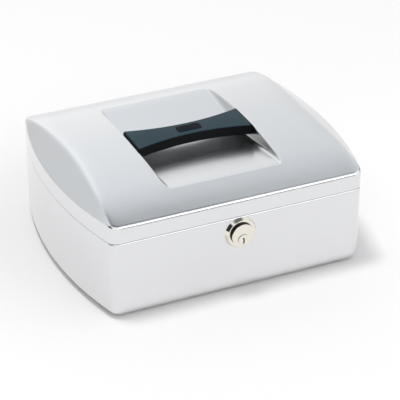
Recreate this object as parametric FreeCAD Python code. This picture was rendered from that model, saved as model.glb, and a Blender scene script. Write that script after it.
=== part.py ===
import FreeCAD, Part

import math
import os

V = FreeCAD.Vector
Y_AXIS = V(0, 1, 0)

# Steel cash box with a vaulted lid, a recessed carrying handle, a pin tumbler lock and a coin tray.
# Millimetres. X runs to the right, Y to the back, Z up. The pieces are drawn round the middle of the
# case, then set so that the origin lies under the middle of the whole box, lock and hinges included.

# Case
front_width = 218.0          # front face, corner to corner
case_depth = 204.0           # front face to back face
side_bow = 16.0              # how far each side bows out at mid depth
corner_radius = 9.0          # upright corners, seen from above
least_corner = 1.0           # tightest rounding of an inner corner
sheet = 1.0                  # steel sheet of the base and the lid
foot_height = 2.0            # rubber foot under the base
body_height = 67.5           # underside of the base to its shoulder
base_edge_radius = 6.0       # rounding round the underside
shoulder_radius = 1.4        # rounding of the shoulder under the lid
neck_height = 6.0            # upright rim inside the lid skirt
neck_clearance = 0.6         # neck to the inside of the lid skirt

# Lid
lid_gap = 0.6                # shoulder to the lid's lower edge
skirt_height = 14.4          # lid's lower edge to the ridge at front and back
vault_rise = 13.5            # ridge to the crown of the vault
crown_radius = 500.0         # flat middle part of the vault
crown_margin = 42.0          # front and back face to the flat middle part
facet_height = 17.0          # height over the ridge where the end facets would run straight
facet_run = 11.0             # front corner in to the facets at that height
ridge_radius = 3.5           # rounding round the top of the skirt
arch_blend = 3.0             # softness of the crease between the vault and the end facets
vault_columns = 6            # guide lines of the pressed top over half the vault
arch_columns = 6             # guide lines across the arch crease
facet_columns = 5            # guide lines over an end facet
top_rows = 31                # guide lines from front to back
top_overrun = 6.0            # guide surface past the case's outline

# Hand recess in the lid
recess_half_floor = 49.5     # half width at the deepest level
recess_depth = 13.0          # crown to the deepest point
recess_margin = 30.0         # front and back face to where the scoop's floor meets the vault, about
recess_tilt = 7.4            # slope of the floor on either side of the handle, degrees
recess_bend = 16.0           # softness of the bend between the two slopes
recess_blend = 2.0           # softness of the meeting with the vault
recess_lift = 0.3            # guide line of the scoop over the vault, past the meeting
recess_overrun = 10.0        # guide line past the meeting
recess_rows = 57             # guide points from front to back
recess_draft = 11.0          # lean of the side walls, degrees
recess_floor_radius = 3.0    # rounding between floor and side wall
recess_rim_radius = 1.6      # rounding along the rim over the side walls

# Handle
handle_proud = 2.0           # handle top over the crown
screw_rise = 3.2             # handle screws over the handle's underside
handle_thickness = 9.4
handle_end_width = 35.0      # front to back at the ends
handle_waist = 18.4          # front to back in the middle
handle_dome_radius = 300.0   # rounding of the top, front to back
handle_edge_radius = 0.8     # round its edges
handle_slant = 1.6           # recess wall in to the end of the handle's top
handle_lip = 2.4             # height of that slanted end
plate_length = 21.0
plate_width = 9.0
plate_corner = 2.0
plate_thickness = 1.0
plate_seat = 0.6             # depth of the plate's seat in the handle
screw_radius = 1.5
screw_length = 9.0           # thread inside the handle
screw_head_radius = 2.9
screw_head_height = 2.0
screw_margin = 8.5           # front and back of the handle's end to its screws

# Feet
foot_radius = 7.0
foot_edge = 0.5
foot_margin_x = 25.0         # front corner in to a foot's middle
foot_margin_y = 24.0         # front and back face to a foot's middle

# Lock
barrel_radius = 8.9          # housing behind its drum
barrel_tail = 5.4            # last pin to the housing's end
barrel_clearance = 0.1       # barrel in the wall's hole and in the bezel
drum_step = 0.9              # housing's drum over its barrel
drum_clearance = 0.15        # drum in the bezel
drum_proud = 2.6             # drum in front of the bezel
drum_edge = 0.4
bezel_height = 3.0           # how far the bezel stands out
bezel_base_radius = 13.8
bezel_slope = 1.8            # bezel's base over its front, in radius
bezel_web = 1.0              # bezel under the drum, which clamps it to the wall
bezel_edge = 0.5
nut_wall = 1.8
nut_length = 4.0
nut_notch = 3.0
nut_notch_depth = 1.0
nut_headroom = 2.7           # nut to the underside of the shoulder
plug_radius = 4.2
plug_wall = 0.8              # housing under the plug
plug_clearance = 0.06
plug_flange = 0.5            # plug's front flange over the plug
plug_face_depth = 2.1
plug_proud = 0.6             # plug in front of the housing's face
pin_count = 4
pin_pitch = 4.0
pin_radius = 1.25
pin_clearance = 0.05
pin_start = 7.6              # wall's outer face to the first pin
key_pin_length = 3.4
key_pin_drop = 0.3           # key pin's top under the plug's top
driver_gap = 0.12            # driver pin's foot over the plug's top
driver_length = 3.2
spring_wire = 0.35
spring_turns = 4
cap_width = 3.4
cap_thickness = 1.2
cap_sink = 0.4               # cap's top under the top of the barrel
cap_margin = 2.0             # cap past the first and last pin
keyway_width = 1.2
keyway_top = 1.2             # round head's middle over the plug's axis
keyway_bottom = 3.4          # under the plug's axis
keyway_jog = 0.4             # sideways step of the warded slot
keyway_head = 0.8            # radius of the round head

# Cam and striker
cam_gap = 0.3                # housing's end to the cam
cam_thickness = 2.0
cam_hub_radius = 5.0
cam_arm_width = 6.0
cam_inner_radius = 14.2      # inside of the hooked finger
cam_outer_radius = 19.0
cam_finger_angle = 42.0      # finger past the arm's middle, degrees
tail_side = 5.6              # square tail of the plug
tail_short = 0.2             # tail ends this far inside the cam
cam_screw_radius = 1.5
cam_screw_length = 5.0
cam_screw_head_radius = 3.4
cam_screw_head_height = 1.8
striker_sheet = 1.5
striker_width = 14.0
striker_gap = 0.6            # cam to the striker's upright
striker_foot = 15.0          # weld foot along the vault
ledge_drop = 1.0             # ledge under the locked finger
ledge_clearance = 1.0        # locked arm to the ledge beside it
ledge_width = 5.0
ledge_setback = 0.6          # cam's front face to the ledge's front

# Hinges
hinge_margin = 47.0          # back corner in to the middle of a hinge
hinge_width = 40.0
hinge_sheet = 1.2
knuckle_radius = 2.6
knuckle_standoff = 0.5       # knuckle to the back wall
hinge_pin_radius = 1.25
hinge_pin_clearance = 0.05
base_knuckle = 11.1          # length of each of the base's knuckles
knuckle_gap = 0.4            # between neighbouring knuckles
leaf_clear = 0.5             # leaf edge to the other leaf's knuckles
leaf_margin = 3.2            # rivets to the leaf's free edge
rivet_radius = 1.5
rivet_head_radius = 2.5
rivet_head_height = 0.9
rivet_head_edge = 0.5
rivet_margin = 7.0           # leaf's end to a rivet
base_rivet_drop = 10.5       # hinge axis to the base rivets
lid_rivet_clearance = 0.6    # neck's top to the lid rivets' heads

# Coin tray and its brackets
tray_side_clearance = 3.0    # tray to the inside of the neck
tray_drop = 8.0              # shoulder to the tray's rim
tray_height = 28.0
tray_wall = 1.6
tray_floor = 1.8
cup_count = 5
cup_scoop_radius = 16.0
cup_row_front = -6.0         # where the coin cups start, towards the back
notch_side = 6.0             # turning cam to the side of the notch
notch_behind = 6.6           # striker to the back of the notch
bracket_sheet = 1.2
bracket_length = 30.0
bracket_reach = 9.0
bracket_height = 12.0
bracket_margin = 41.0        # front corner in to a bracket's middle

# Cutting tools
overrun = 1.0                # how far a tool runs past what it cuts
tolerance = 1e-3             # for telling edges by their place

# Levels and faces that follow
half_width = front_width / 2
half_depth = case_depth / 2
front_y = -half_depth
back_y = half_depth
base_z = foot_height
shoulder_z = base_z + body_height
neck_top = shoulder_z + neck_height
neck_inset = sheet + neck_clearance
lid_bottom = shoulder_z + lid_gap
ridge_z = lid_bottom + skirt_height
crown_z = ridge_z + vault_rise
crown_half = half_depth - crown_margin
facet_half_width = half_width - facet_run
recess_floor_z = crown_z - recess_depth
recess_reach = half_depth - recess_margin
reach = front_width + case_depth   # longer than anything, for through cuts

handle_top = crown_z + handle_proud
handle_bottom = handle_top - handle_thickness
screw_z = handle_bottom + screw_rise
screw_y = handle_end_width / 2 - screw_margin

foot_x = half_width - foot_margin_x
foot_y = half_depth - foot_margin_y

drum_radius = barrel_radius + drum_step
nut_radius = barrel_radius + nut_wall
plug_face_radius = plug_radius + plug_flange
lock_z = shoulder_z - sheet - nut_headroom - nut_radius
plug_z = lock_z - barrel_radius + plug_wall + plug_radius
cap_z = lock_z + barrel_radius - cap_sink - cap_thickness
bezel_front = front_y - bezel_height
drum_back = front_y - bezel_web
face_y = bezel_front - drum_proud
plug_front = face_y - plug_proud
pin_places = [front_y + pin_start + i * pin_pitch for i in range(pin_count)]
barrel_end = pin_places[-1] + barrel_tail

cam_front = barrel_end + cam_gap
cam_back = cam_front + cam_thickness
striker_y = cam_back + striker_gap
striker_back = striker_y + striker_sheet
ledge_start = cam_arm_width / 2 + ledge_clearance
ledge_end = ledge_start + ledge_width

hinge_x = half_width - hinge_margin
hinge_y = back_y + knuckle_standoff + knuckle_radius
hinge_z = shoulder_z + lid_gap / 2
lid_knuckle = hinge_width - 2 * (base_knuckle + knuckle_gap)
base_rivet_z = hinge_z - base_rivet_drop
lid_rivet_z = neck_top + lid_rivet_clearance + rivet_head_radius
box_shift = -(plug_front + hinge_y + knuckle_radius) / 2

tray_inset = neck_inset + sheet + tray_side_clearance
tray_top = shoulder_z - tray_drop
tray_bottom = tray_top - tray_height
notch_half_width = cam_outer_radius + notch_side
notch_back = striker_back + notch_behind
bracket_x = half_width - bracket_margin


# Small builders

def block(low, high):
    """Box between two corners given as (x, y, z)."""
    size = [b - a for a, b in zip(low, high)]
    return Part.makeBox(size[0], size[1], size[2], V(*low))


def rod(radius, start, end):
    """Cylinder between two points."""
    along = end - start
    return Part.makeCylinder(radius, along.Length, start, along)


def prism(wire, direction):
    """Solid swept from a flat closed wire."""
    return Part.Face(wire).extrude(direction)


def polygon(points):
    """Closed flat wire through points."""
    return Part.makePolygon(points + points[:1])


def joined(shapes):
    """One solid from shapes that overlap or touch."""
    return shapes[0].fuse(shapes[1:]).removeSplitter()


def group(shapes):
    """Separate solids kept in one node."""
    return Part.makeCompound(shapes)


def edges_at_height(shape, z):
    """Edges that lie flat at height z."""
    return [e for e in shape.Edges
            if abs(e.BoundBox.ZMin - z) < tolerance and abs(e.BoundBox.ZMax - z) < tolerance]


def edges_at_depth(shape, y):
    """Edges that lie in the upright plane at depth y."""
    return [e for e in shape.Edges
            if abs(e.BoundBox.YMin - y) < tolerance and abs(e.BoundBox.YMax - y) < tolerance]


def arc(start, middle, end):
    """Circular edge through three points."""
    return Part.Arc(start, middle, end).toShape()


# Plan of the case

def side_arc():
    """Radius of the bowed right side, and how far right its centre lies."""
    radius = (half_depth ** 2 + side_bow ** 2) / (2 * side_bow)
    return radius, half_width + side_bow - radius


def ring_of_sides(quarter, z):
    """Closed outline from one quarter: front line end, corner middle, corner end, side middle."""
    line_end, corner_middle, corner_end, side_middle = quarter

    def at(point, sx, sy):
        return V(point[0] * sx, point[1] * sy, z)

    edges = []
    for sx, sy in ((1, -1), (-1, 1)):
        edges.append(Part.makeLine(at(line_end, -sx, sy), at(line_end, sx, sy)))
        edges.append(arc(at(line_end, sx, sy), at(corner_middle, sx, sy), at(corner_end, sx, sy)))
        edges.append(arc(at(corner_end, sx, sy), at(side_middle, sx, sy), at(corner_end, sx, -sy)))
        edges.append(arc(at(corner_end, sx, -sy), at(corner_middle, sx, -sy), at(line_end, sx, -sy)))
    return Part.Wire(edges)


def case_outline(inset, z):
    """Plan of the case drawn in by inset: flat front and back, bowed sides, round corners."""
    side_radius, side_x = side_arc()
    radius = max(corner_radius - inset, least_corner)
    centre_y = half_depth - inset - radius
    centre_x = side_x + math.sqrt((side_radius - inset - radius) ** 2 - centre_y ** 2)
    lean = math.atan2(centre_y, centre_x - side_x)
    middle = (lean + math.pi / 2) / 2
    quarter = (
        (centre_x, half_depth - inset),
        (centre_x + radius * math.cos(middle), centre_y + radius * math.sin(middle)),
        (centre_x + radius * math.cos(lean), centre_y + radius * math.sin(lean)),
        (half_width + side_bow - inset, 0),
    )
    return ring_of_sides(quarter, z)


def tub(inset, low, high):
    """Upright solid of the case's plan."""
    return prism(case_outline(inset, low), V(0, 0, high - low))


# Vault of the lid, front to back

def vault_arcs():
    """Centres (y, z) and radii of the crown arc and the back end arc, and the angle between them."""
    crown_centre = (0.0, crown_z - crown_radius)
    turn = math.asin(crown_half / crown_radius)
    start = (crown_half, crown_centre[1] + crown_radius * math.cos(turn))
    inward = (-math.sin(turn), -math.cos(turn))
    chord = (half_depth - start[0], ridge_z - start[1])
    along = chord[0] * inward[0] + chord[1] * inward[1]
    end_radius = (chord[0] ** 2 + chord[1] ** 2) / (2 * along)
    end_centre = (start[0] + end_radius * inward[0], start[1] + end_radius * inward[1])
    return crown_centre, end_centre, end_radius, turn


def vault_z(y, inset=0.0):
    """Height of the vault's outer face, or of a face inset under it."""
    crown_centre, end_centre, end_radius, turn = vault_arcs()
    y = abs(y)
    if y <= (crown_radius - inset) * math.sin(turn):
        return crown_centre[1] + math.sqrt((crown_radius - inset) ** 2 - y ** 2)
    return end_centre[1] + math.sqrt((end_radius - inset) ** 2 - (y - end_centre[0]) ** 2)


def soft_minimum(first, second, blend):
    """Smaller of two heights, with the crease between them rounded off."""
    overlap = max(blend - abs(first - second), 0.0) / blend
    return min(first, second) - overlap ** 2 * blend / 4


def facet_edges(y, inset):
    """Where the end facet starts at the rim, and how far it runs in to its top line, at depth y."""
    side_radius, side_x = side_arc()
    rim = side_x + math.sqrt((side_radius - inset) ** 2 - y ** 2)
    return rim, rim - (facet_half_width - inset)


def lid_top_z(x, y, inset):
    """Height of the lid's top: the vault, cut off by the slanted facet at each end."""
    rim, run = facet_edges(y, inset)
    facet = ridge_z - inset / 2 + facet_height * (rim - abs(x)) / run
    return soft_minimum(vault_z(y, inset), facet, arch_blend)


def lid_top_columns(y, inset):
    """Places across the lid at depth y: evenly over the vault, close over the arch, evenly past the rim."""
    rim, run = facet_edges(y, inset)
    slope = facet_height / run
    arch = rim - (vault_z(y, inset) - ridge_z + inset / 2) / slope
    blend = arch_blend / slope
    start = arch - blend
    end = arch + blend
    outside = rim + top_overrun
    half = [start * i / vault_columns for i in range(1, vault_columns)]
    half += [start + (end - start) * i / arch_columns for i in range(arch_columns)]
    half += [end + (outside - end) * i / facet_columns for i in range(facet_columns + 1)]
    return [-x for x in reversed(half)] + [0.0] + half


def lid_block(inset, low):
    """Solid lid form: bowed skirt, slanted end facets and vault, all drawn in by inset."""
    half_y = half_depth + top_overrun
    rows = []
    for j in range(top_rows):
        y = half_y * (2 * j / (top_rows - 1) - 1)
        rows.append([V(x, y, lid_top_z(x, y, inset)) for x in lid_top_columns(y, inset)])
    top = Part.BSplineSurface()
    top.interpolate([list(column) for column in zip(*rows)])
    under_top = top.toShape().extrude(V(0, 0, -reach))
    form = tub(inset, low, crown_z + top_overrun).common(under_top)
    ridge = [e for e in form.Edges if e.BoundBox.ZMin > low + skirt_height / 2]
    return form.makeFillet(ridge_radius - inset, ridge)


def recess_half_width(z):
    """Half width between the leaning recess walls at height z."""
    return recess_half_floor + (z - recess_floor_z) * math.tan(math.radians(recess_draft))


def between_walls(grow, low, high):
    """Solid between the recess walls, grown outwards by a wall thickness."""
    step = grow / math.cos(math.radians(recess_draft))
    bottom = recess_half_width(low) + step
    top = recess_half_width(high) + step
    corners = [V(-bottom, -reach / 2, low), V(bottom, -reach / 2, low),
               V(top, -reach / 2, high), V(-top, -reach / 2, high)]
    return prism(polygon(corners), V(0, reach, 0))


def recess_floor(y):
    """Height of the scoop's floor at depth y: two slopes with a soft bend, blended into the vault."""
    run = math.hypot(y, recess_bend) - recess_bend
    slopes = recess_floor_z + run * math.tan(math.radians(recess_tilt))
    return soft_minimum(slopes, vault_z(y) + recess_lift, recess_blend)


def recess_line(grow):
    """Guide points of the scoop's floor from front to back, moved down square to the floor by grow."""
    half = recess_reach + recess_overrun
    points = []
    for i in range(recess_rows):
        y = half * (2 * i / (recess_rows - 1) - 1)
        slope = (recess_floor(y + tolerance) - recess_floor(y - tolerance)) / (2 * tolerance)
        down = V(0, slope, -1).normalize() * grow
        points.append(V(-reach / 2, y, recess_floor(y)) + down)
    return points


def recess_tool(grow):
    """Scoop that makes the hand recess: its floor line drawn across, between leaning side walls."""
    points = recess_line(grow)
    floor_line = Part.BSplineCurve()
    floor_line.interpolate(points)
    high = crown_z + recess_depth
    front, back = points[0], points[-1]
    top = [V(front.x, p.y, high) for p in (back, front)]
    rim = [floor_line.toShape(), Part.makeLine(back, top[0]), Part.makeLine(*top), Part.makeLine(top[1], front)]
    scoop = prism(Part.Wire(rim), V(reach, 0, 0))
    tool = scoop.common(between_walls(grow, recess_floor_z - recess_depth, high + overrun))
    floor_edges = [e for e in tool.Edges
                   if e.BoundBox.YLength > recess_reach and e.BoundBox.ZMax < high - overrun]
    return tool.makeFillet(recess_floor_radius + grow, floor_edges)


def rounded_recess(form):
    """Lid form with the hand recess cut in and the recess rim rounded."""
    cut = form.cut(recess_tool(0.0))
    rim = [e for e in cut.Edges if e.BoundBox.ZMin > vault_z(recess_reach) - tolerance
           and max(abs(e.BoundBox.YMin), abs(e.BoundBox.YMax)) < recess_reach + tolerance
           and max(abs(e.BoundBox.XMin), abs(e.BoundBox.XMax)) < recess_half_width(crown_z) + overrun]
    return cut.makeFillet(recess_rim_radius, rim)


def lid_hollow(low):
    """Space under the lid's sheet, down to height low."""
    return lid_block(sheet, low).cut(recess_tool(sheet))


# Handle and its screws

def screw_axis(side, row):
    """Point on the recess wall and the direction out of the recess, for one handle screw."""
    lean = math.radians(recess_draft)
    point = V(side * recess_half_width(screw_z), row * screw_y, screw_z)
    return point, V(side * math.cos(lean), 0, -math.sin(lean))


def screw_places():
    """Axes of the four handle screws."""
    return [screw_axis(side, row) for side in (-1, 1) for row in (-1, 1)]


def screw_shank(point, outward):
    """Threaded part of a handle screw, from under its head."""
    return rod(screw_radius, point + outward * sheet, point - outward * screw_length)


def handle_screw(point, outward):
    """Pan head screw driven from inside the lid into the handle's end."""
    seat = point + outward * sheet
    head = rod(screw_head_radius, seat, seat + outward * screw_head_height)
    return joined([head, screw_shank(point, outward)])


def plate_outline(z):
    """Rounded oblong of the bare plate on the handle."""
    block_low = V(-plate_length / 2, -plate_width / 2, z)
    oblong = Part.makeBox(plate_length, plate_width, plate_thickness + handle_proud, block_low)
    upright = [e for e in oblong.Edges if e.BoundBox.ZLength > plate_thickness / 2]
    return oblong.makeFillet(plate_corner, upright)


def handle_form():
    """Waisted bar between the recess walls: domed top, slanted ends over the rim, rounded edges."""
    end_x = recess_half_width(handle_top) + overrun
    end_y = handle_end_width / 2
    waist_y = handle_waist / 2
    edges = []
    for side in (-1, 1):
        edges.append(arc(V(side * end_x, side * end_y, handle_bottom),
                         V(0, side * waist_y, handle_bottom),
                         V(-side * end_x, side * end_y, handle_bottom)))
        edges.append(Part.makeLine(V(-side * end_x, side * end_y, handle_bottom),
                                   V(-side * end_x, -side * end_y, handle_bottom)))
    bar = prism(Part.Wire(edges), V(0, 0, handle_thickness))
    bar = bar.common(between_walls(0.0, handle_bottom - overrun, handle_top + overrun))
    shoulder = handle_top - handle_dome_radius + math.sqrt(handle_dome_radius ** 2 - handle_end_width ** 2)
    low = handle_bottom - overrun
    span = handle_end_width
    crest = Part.Arc(V(-end_x, -span, shoulder), V(-end_x, 0, handle_top), V(-end_x, span, shoulder))
    rim = [crest.toBSpline().toShape(),
           Part.makeLine(V(-end_x, span, shoulder), V(-end_x, span, low)),
           Part.makeLine(V(-end_x, span, low), V(-end_x, -span, low)),
           Part.makeLine(V(-end_x, -span, low), V(-end_x, -span, shoulder))]
    dome = prism(Part.Wire(rim), V(2 * end_x, 0, 0))
    bar = bar.common(dome)
    for side in (-1, 1):
        end = recess_half_width(handle_top)
        slant = polygon([V(side * (end - 2 * handle_slant), -span, handle_top + handle_lip),
                         V(side * (end + handle_slant), -span, handle_top - 2 * handle_lip),
                         V(side * (end + handle_lip), -span, handle_top + handle_lip)])
        bar = bar.cut(prism(slant, V(0, 2 * span, 0)))
    outer = [e for e in bar.Edges
             if e.BoundBox.XLength > tolerance or e.BoundBox.ZMin < handle_bottom + tolerance]
    return bar.makeFillet(handle_edge_radius, outer)


def handle_plate():
    """Bare plate, seated in the handle's top."""
    return plate_outline(handle_top - plate_seat).common(
        block((-reach, -reach, 0), (reach, reach, handle_top - plate_seat + plate_thickness)))


def handle():
    """Handle with the plate's seat and the bores of its screws."""
    bar = handle_form().cut(plate_outline(handle_top - plate_seat))
    return bar.cut([screw_shank(*place) for place in screw_places()])


# Hinges

def hinge_sides():
    """Middles of the left and the right hinge."""
    return {"left": -hinge_x, "right": hinge_x}


def rivet_places():
    """Places of the rivets across the back, two for each hinge."""
    half = hinge_width / 2 - rivet_margin
    return [middle + side * half for middle in hinge_sides().values() for side in (-1, 1)]


def rivet_shank(x, z):
    """Rivet body through the hinge leaf and the wall."""
    return rod(rivet_radius, V(x, back_y - sheet, z), V(x, back_y + hinge_sheet, z))


def rivet(x, z):
    """Rivet with a rounded head on each side."""
    pieces = [rivet_shank(x, z)]
    for seat, way in ((back_y - sheet, -1), (back_y + hinge_sheet, 1)):
        rim = V(x, seat + way * rivet_head_height, z)
        head = rod(rivet_head_radius, V(x, seat, z), rim)
        pieces.append(head.makeFillet(rivet_head_edge, edges_at_depth(head, rim.y)))
    return joined(pieces)


def knuckle(middle, start, end, bore):
    """Hinge knuckle along X with its bore, as a pair of solids to add and to cut."""
    low = V(middle + start, hinge_y, hinge_z)
    high = V(middle + end, hinge_y, hinge_z)
    return rod(knuckle_radius, low, high), rod(bore, low, high)


def hinge_leaf(middle, spans, bore, rivet_z):
    """Leaf riveted to the back at height rivet_z: a plate, and rolled knuckles over the given spans of X."""
    way = math.copysign(1, rivet_z - hinge_z)
    near = hinge_z + way * (knuckle_radius + leaf_clear)
    far = rivet_z + way * leaf_margin
    half = hinge_width / 2
    solids = [block((middle - half, back_y, min(near, far)),
                    (middle + half, back_y + hinge_sheet, max(near, far)))]
    bores = []
    for start, end in spans:
        curl, hole = knuckle(middle, start, end, bore)
        solids.append(curl)
        solids.append(block((middle + start, back_y + knuckle_standoff, min(hinge_z, near)),
                            (middle + end, back_y + hinge_sheet, max(hinge_z, near))))
        bores.append(hole)
    return joined(solids).cut(bores + [rivet_shank(x, rivet_z) for x in rivet_places()])


def base_leaf(middle):
    """Base leaf with a knuckle at each end, which hold the pin tight."""
    half = hinge_width / 2
    inner = half - base_knuckle
    return hinge_leaf(middle, ((-half, -inner), (inner, half)), hinge_pin_radius, base_rivet_z)


def lid_leaf(middle):
    """Lid leaf with one middle knuckle, which turns on the pin."""
    return hinge_leaf(middle, ((-lid_knuckle / 2, lid_knuckle / 2),),
                      hinge_pin_radius + hinge_pin_clearance, lid_rivet_z)


def hinge_pin(middle):
    """Plain pin through one hinge."""
    half = hinge_width / 2
    return rod(hinge_pin_radius, V(middle - half, hinge_y, hinge_z), V(middle + half, hinge_y, hinge_z))


# Base

def base_shell():
    """Drawn steel tub with a rounded underside, a shoulder and a neck that the lid fits over."""
    outer = tub(0.0, base_z, shoulder_z)
    outer = outer.makeFillet(base_edge_radius, edges_at_height(outer, base_z))
    outer = outer.makeFillet(shoulder_radius, edges_at_height(outer, shoulder_z))
    outer = joined([outer, tub(neck_inset, shoulder_z - sheet, neck_top)])
    hollow = tub(sheet, base_z + sheet, shoulder_z - sheet)
    hollow = hollow.makeFillet(base_edge_radius - sheet, edges_at_height(hollow, base_z + sheet))
    mouth = tub(neck_inset + sheet, shoulder_z - 2 * sheet, neck_top + sheet)
    hole_end = front_y + sheet + overrun
    lock_hole = rod(barrel_radius + barrel_clearance, V(0, front_y - overrun, lock_z), V(0, hole_end, lock_z))
    return outer.cut([hollow, mouth, lock_hole] + [rivet_shank(x, base_rivet_z) for x in rivet_places()])


def rubber_foot(x, y):
    """Round foot with a softened lower edge."""
    disc = rod(foot_radius, V(x, y, 0), V(x, y, foot_height))
    return disc.makeFillet(foot_edge, edges_at_height(disc, 0))


def lid_shell():
    """Pressed steel lid: skirt, vault, end facets and hand recess in one sheet."""
    shell = rounded_recess(lid_block(0.0, lid_bottom)).cut(lid_hollow(lid_bottom - lid_gap))
    return shell.cut([screw_shank(*place) for place in screw_places()]
                     + [rivet_shank(x, lid_rivet_z) for x in rivet_places()])


# Lock

def along_y(radius, start, end, z):
    """Cylinder along Y on the lock's middle plane."""
    return rod(radius, V(0, start, z), V(0, end, z))


def upright(radius, y, low, high):
    """Cylinder along Z on the lock's middle plane."""
    return rod(radius, V(0, y, low), V(0, y, high))


def lock_bezel():
    """Coned ring on the wall, clamped by the housing's drum, which sits in it."""
    body = Part.makeCone(bezel_base_radius, bezel_base_radius - bezel_slope, bezel_height,
                         V(0, front_y, lock_z), V(0, -1, 0))
    body = body.makeFillet(bezel_edge, edges_at_depth(body, bezel_front))
    seat = along_y(drum_radius + drum_clearance, drum_back, bezel_front - overrun, lock_z)
    hole = along_y(barrel_radius + barrel_clearance, front_y, bezel_front, lock_z)
    return body.cut([seat, hole])


def cap_seat_box(height):
    """Oblong over the pin chambers, from the cap's underside."""
    return block((-cap_width / 2, pin_places[0] - cap_margin, cap_z),
                 (cap_width / 2, pin_places[-1] + cap_margin, cap_z + height))


def lock_housing():
    """Round lock body with the plug's bore, the pin chambers and the seat of their cap."""
    drum = along_y(drum_radius, face_y, drum_back, lock_z)
    drum = drum.makeFillet(drum_edge, edges_at_depth(drum, face_y))
    body = joined([drum, along_y(barrel_radius, face_y + drum_edge, barrel_end, lock_z)])
    plug_bore = along_y(plug_radius + plug_clearance, face_y - overrun, barrel_end + overrun, plug_z)
    flange_seat = plug_front + plug_face_depth + plug_clearance
    flange_bore = along_y(plug_face_radius + plug_clearance, face_y - overrun, flange_seat, plug_z)
    chambers = [upright(pin_radius + pin_clearance, y, plug_z, cap_z) for y in pin_places]
    return body.cut([plug_bore, flange_bore, cap_seat_box(barrel_radius)] + chambers)


def lock_nut():
    """Round nut behind the wall, with four spanner notches."""
    start = front_y + sheet
    ring = along_y(nut_radius, start, start + nut_length, lock_z)
    tools = [along_y(barrel_radius, start, start + nut_length, lock_z)]
    low = nut_radius - nut_notch_depth
    for quarter in range(4):
        notch = block((-nut_notch / 2, start, lock_z + low),
                      (nut_notch / 2, start + nut_length, lock_z + nut_radius + overrun))
        notch.rotate(V(0, 0, lock_z), Y_AXIS, 45 + 90 * quarter)
        tools.append(notch)
    return ring.cut(tools)


def driver_pin(y):
    """Upper pin, just over the plug."""
    foot = plug_z + plug_radius + driver_gap
    return upright(pin_radius, y, foot, foot + driver_length)


def helix_at(radius, pitch, turn):
    """Point on an upright helix after a number of turns, and its direction there."""
    angle = 2 * math.pi * turn
    point = V(radius * math.cos(angle), radius * math.sin(angle), pitch * turn)
    way = V(-2 * math.pi * point.y, 2 * math.pi * point.x, pitch)
    return point, way.normalize()


def arc_along(start, way, end):
    """Circular edge that leaves start in the given direction and ends at end."""
    chord = end - start
    side = (chord - way * chord.dot(way)).normalize()
    radius = chord.Length ** 2 / (2 * chord.dot(side))
    centre = start + side * radius
    outward = (start + chord * 0.5 - centre).normalize()
    return arc(start, centre + outward * radius, end)


def biarc(start, way, end, end_way):
    """Two smoothly joined arcs between two points with given directions."""
    chord = end - start
    bend = 2 * (1 - way.dot(end_way))
    along = chord.dot(way + end_way)
    step = (math.sqrt(along ** 2 + bend * chord.dot(chord)) - along) / bend
    middle = (start + end + (way - end_way) * step) * 0.5
    back = arc_along(end, end_way * -1, middle)
    back.reverse()
    return [arc_along(start, way, middle), back]


def pin_spring(y):
    """Coil spring between a driver pin and the cap, a wire wound in quarter turns."""
    low = plug_z + plug_radius + driver_gap + driver_length + spring_wire
    pitch = (cap_z - spring_wire - low) / spring_turns
    coil_radius = pin_radius - spring_wire / 2 - pin_clearance
    stops = [helix_at(coil_radius, pitch, i / 4) for i in range(4 * spring_turns + 1)]
    edges = []
    for (start, way), (end, end_way) in zip(stops, stops[1:]):
        edges += biarc(start, way, end, end_way)
    section = Part.Wire(Part.makeCircle(spring_wire / 2, *stops[0]))
    spring = Part.Wire(edges).makePipeShell([section], True, False)
    spring.translate(V(0, y, low))
    return spring


def key_pin(y):
    """Lower pin inside the plug, at the height that lets the plug turn."""
    top = plug_z + plug_radius - key_pin_drop
    return upright(pin_radius, y, top - key_pin_length, top)


def keyway():
    """Warded slot with a round head, from the plug's face past the last pin."""
    half = keyway_width / 2
    line = [(0, keyway_top), (keyway_jog, -keyway_bottom / 2), (-keyway_jog, -keyway_bottom)]
    corners = [(x - half, z) for x, z in line] + [(x + half, z) for x, z in reversed(line)]
    start = plug_front - overrun
    end = pin_places[-1] + pin_radius
    slot = prism(polygon([V(x, start, plug_z + z) for x, z in corners]), V(0, end - start, 0))
    head = along_y(keyway_head, start, end, plug_z + keyway_top)
    return joined([slot, head])


def cam_screw_shank():
    """Threaded part of the cam screw."""
    return along_y(cam_screw_radius, cam_back, cam_back - cam_screw_length, plug_z)


def tail(end):
    """Square tail of the plug, through the cam."""
    half = tail_side / 2
    return block((-half, cam_front, plug_z - half), (half, end, plug_z + half))


def lock_plug():
    """Turning plug with its flange, keyway, pin bores and square tail."""
    body = joined([along_y(plug_face_radius, plug_front, plug_front + plug_face_depth, plug_z),
                   along_y(plug_radius, plug_front, cam_front, plug_z),
                   tail(cam_back - tail_short)])
    top = plug_z + plug_radius + overrun
    bores = [upright(pin_radius + pin_clearance, y, plug_z, top) for y in pin_places]
    return body.cut([keyway(), cam_screw_shank()] + bores)


def around_plug(radius, angle):
    """Point on the cam's front face; the angle grows clockwise from straight down, seen from the front."""
    turn = math.radians(angle)
    return V(-radius * math.sin(turn), cam_front, plug_z - radius * math.cos(turn))


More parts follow.
